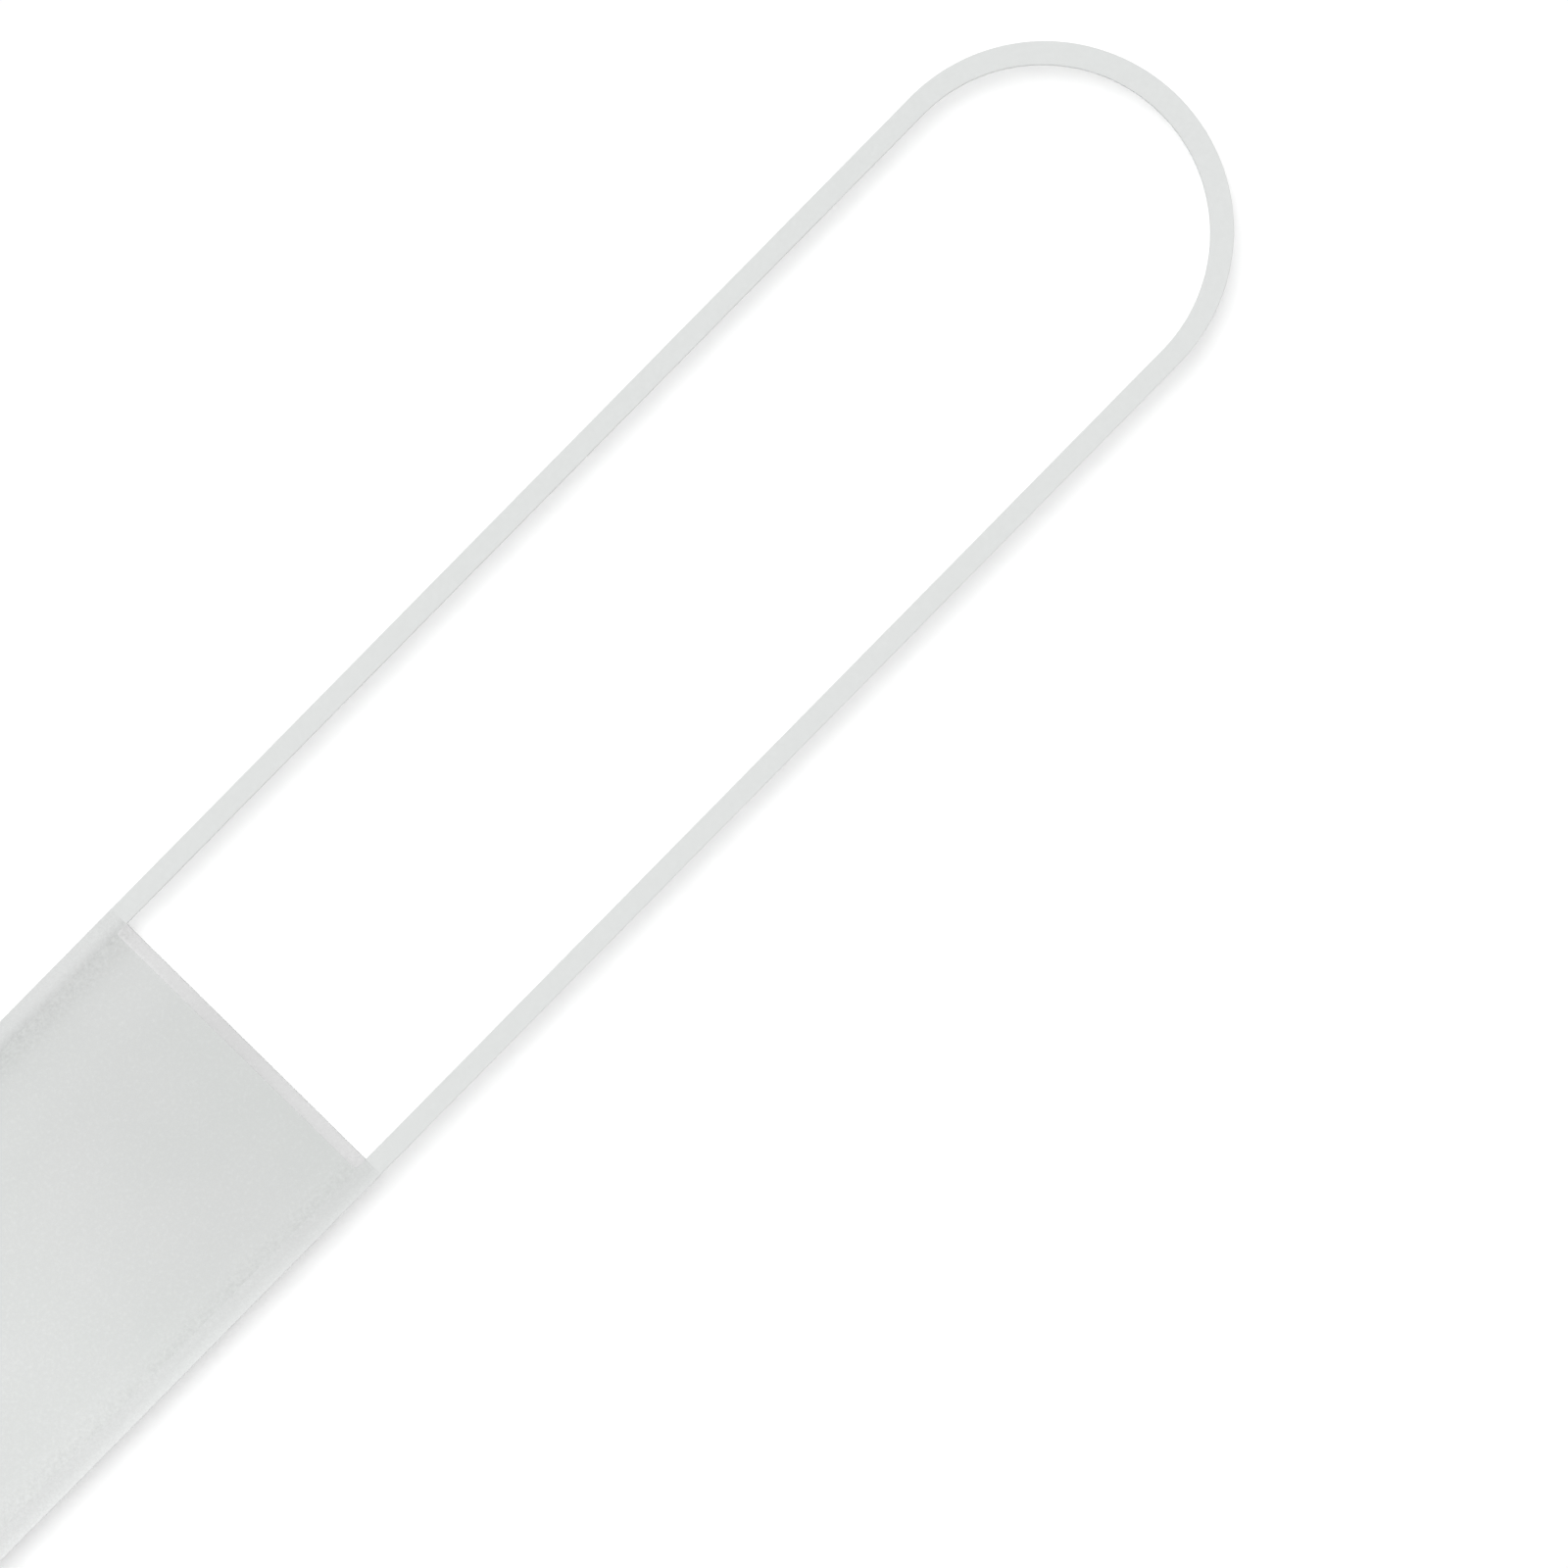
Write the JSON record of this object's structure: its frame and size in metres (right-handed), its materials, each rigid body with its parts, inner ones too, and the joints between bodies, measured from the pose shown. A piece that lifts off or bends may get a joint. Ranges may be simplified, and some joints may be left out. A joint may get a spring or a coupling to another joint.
{
  "type": "led light tube",
  "caption": "Slim light tube bent into a long round-ended loop on a flat frosted light body, with a control end, two buttons, a dimmer wheel and a stand thread.",
  "frame": {"origin": "middle of the resting face, at the bottom of the rubber strips", "axes": "+X along the length towards the bow of the loop, +Y across, +Z out of the lit face"},
  "size_m": [0.6, 0.105, 0.0147],
  "materials": {
    "opal_sleeve": "satin opal, unlit",
    "frosted_plastic": "fine frosted, translucent",
    "frosted_panel": "frosted with a fine grain, translucent",
    "frosted_bar": "frosted, neutral grey",
    "grey_casing": "fine moulded texture",
    "button_plastic": "satin",
    "dark_grip": "matte, grooved",
    "grey_rubber": "matte",
    "clear_plastic": "polished",
    "white_plastic": "satin",
    "dark_plastic": "matte",
    "rail_aluminium": "extruded",
    "block_aluminium": "machined",
    "can_aluminium": "satin",
    "steel": "zinc plated",
    "board_white": "white solder mask",
    "board_green": "green solder mask",
    "led_package": "pale yellow phosphor",
    "cell_pouch": "laminated foil",
    "foam_pad": "foam",
    "wire_jacket": "soft jacket"
  },
  "bodies": {
    "housing": {"light_tube": "opal_sleeve", "tube_base_strip": "white_plastic", "tube_spine": "rail_aluminium", "tube_led_board": "board_white", "tube_leds": "led_package", "light_frame": "frosted_plastic", "diffuser_panel": "frosted_panel", "end_bar": "frosted_bar", "bottom_tray": "grey_casing", "rubber_strips": "grey_rubber", "control_cover": "grey_casing", "mount_block": "block_aluminium", "dimmer_pot": "dark_plastic", "wheel_axle": "steel", "tact_switches": "dark_plastic", "level_leds": "led_package", "light_pipe": "clear_plastic", "driver_board": "board_green", "driver_chips": "dark_plastic", "inductors": "dark_plastic", "capacitors": "can_aluminium", "wire_sockets": "white_plastic", "usb_socket": "steel", "usb_tongue": "dark_plastic", "heat_plate": "block_aluminium", "panel_board": "board_white", "panel_leds": "led_package", "panel_reflector": "white_plastic", "battery_pads": "foam_pad", "battery_cells": "cell_pouch", "battery_leads": "wire_jacket", "panel_leads": "wire_jacket", "tube_leads": "wire_jacket", "case_screws": "steel", "rail_screws": "steel", "mount_screws": "steel", "board_screws": "steel", "panel_screws": "steel"},
    "power_button": {"power_button": "button_plastic"},
    "colour_button": {"colour_button": "button_plastic"},
    "dimmer_wheel": {"dimmer_wheel": "dark_grip"}
  },
  "joints": [
    {"name": "power_press", "type": "slide", "parent": "housing", "child": "power_button", "axis": [0, 0, -1], "range_m": [0, 0.0005], "stiffness_N_per_m": 3000},
    {"name": "colour_press", "type": "slide", "parent": "housing", "child": "colour_button", "axis": [0, 0, -1], "range_m": [0, 0.0005], "stiffness_N_per_m": 3000},
    {"name": "dimmer_turn", "type": "hinge", "parent": "housing", "child": "dimmer_wheel", "pos_m": [-0.2912, -0.028, 0.0093], "axis": [0, 0, 1], "range_deg": [-150, 150]}
  ]
}
